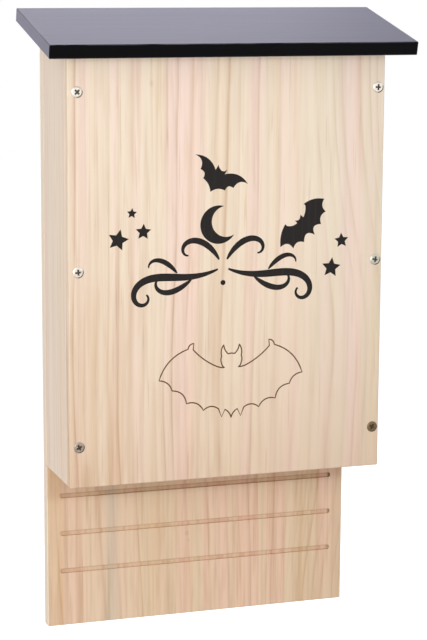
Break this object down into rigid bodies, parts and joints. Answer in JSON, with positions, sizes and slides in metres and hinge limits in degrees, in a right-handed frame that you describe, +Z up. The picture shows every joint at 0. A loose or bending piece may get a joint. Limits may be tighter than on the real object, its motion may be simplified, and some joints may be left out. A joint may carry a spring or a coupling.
{
  "type": "bat box",
  "caption": "Wall-hung wooden roosting box for bats: a flat two-crevice chamber between boards, a sloping lid above and a grooved landing board below.",
  "frame": {"origin": "centre of the hanging keyhole's entry circle, on the back face that lies against the wall", "axes": "+Y into the wall, so the front faces -Y; +Z up; +X to the right as seen from the front"},
  "size_m": [0.275, 0.1001, 0.4672],
  "materials": {
    "pine_front": "planed, bare",
    "pine_back": "planed, bare",
    "pine_side": "planed, bare",
    "lid_paint": "satin black paint on wood",
    "pine_inside": "sawn, bare",
    "zinc": "bright zinc plate",
    "brad_steel": "plain"
  },
  "bodies": {
    "root": {"front_panel": "pine_front", "back_panel": "pine_back", "side_left": "pine_side", "side_right": "pine_side", "lid": "lid_paint", "roost_partition": "pine_inside", "front_screws": "zinc", "back_screws": "zinc", "lid_brads": "brad_steel"}
  },
  "joints": []
}
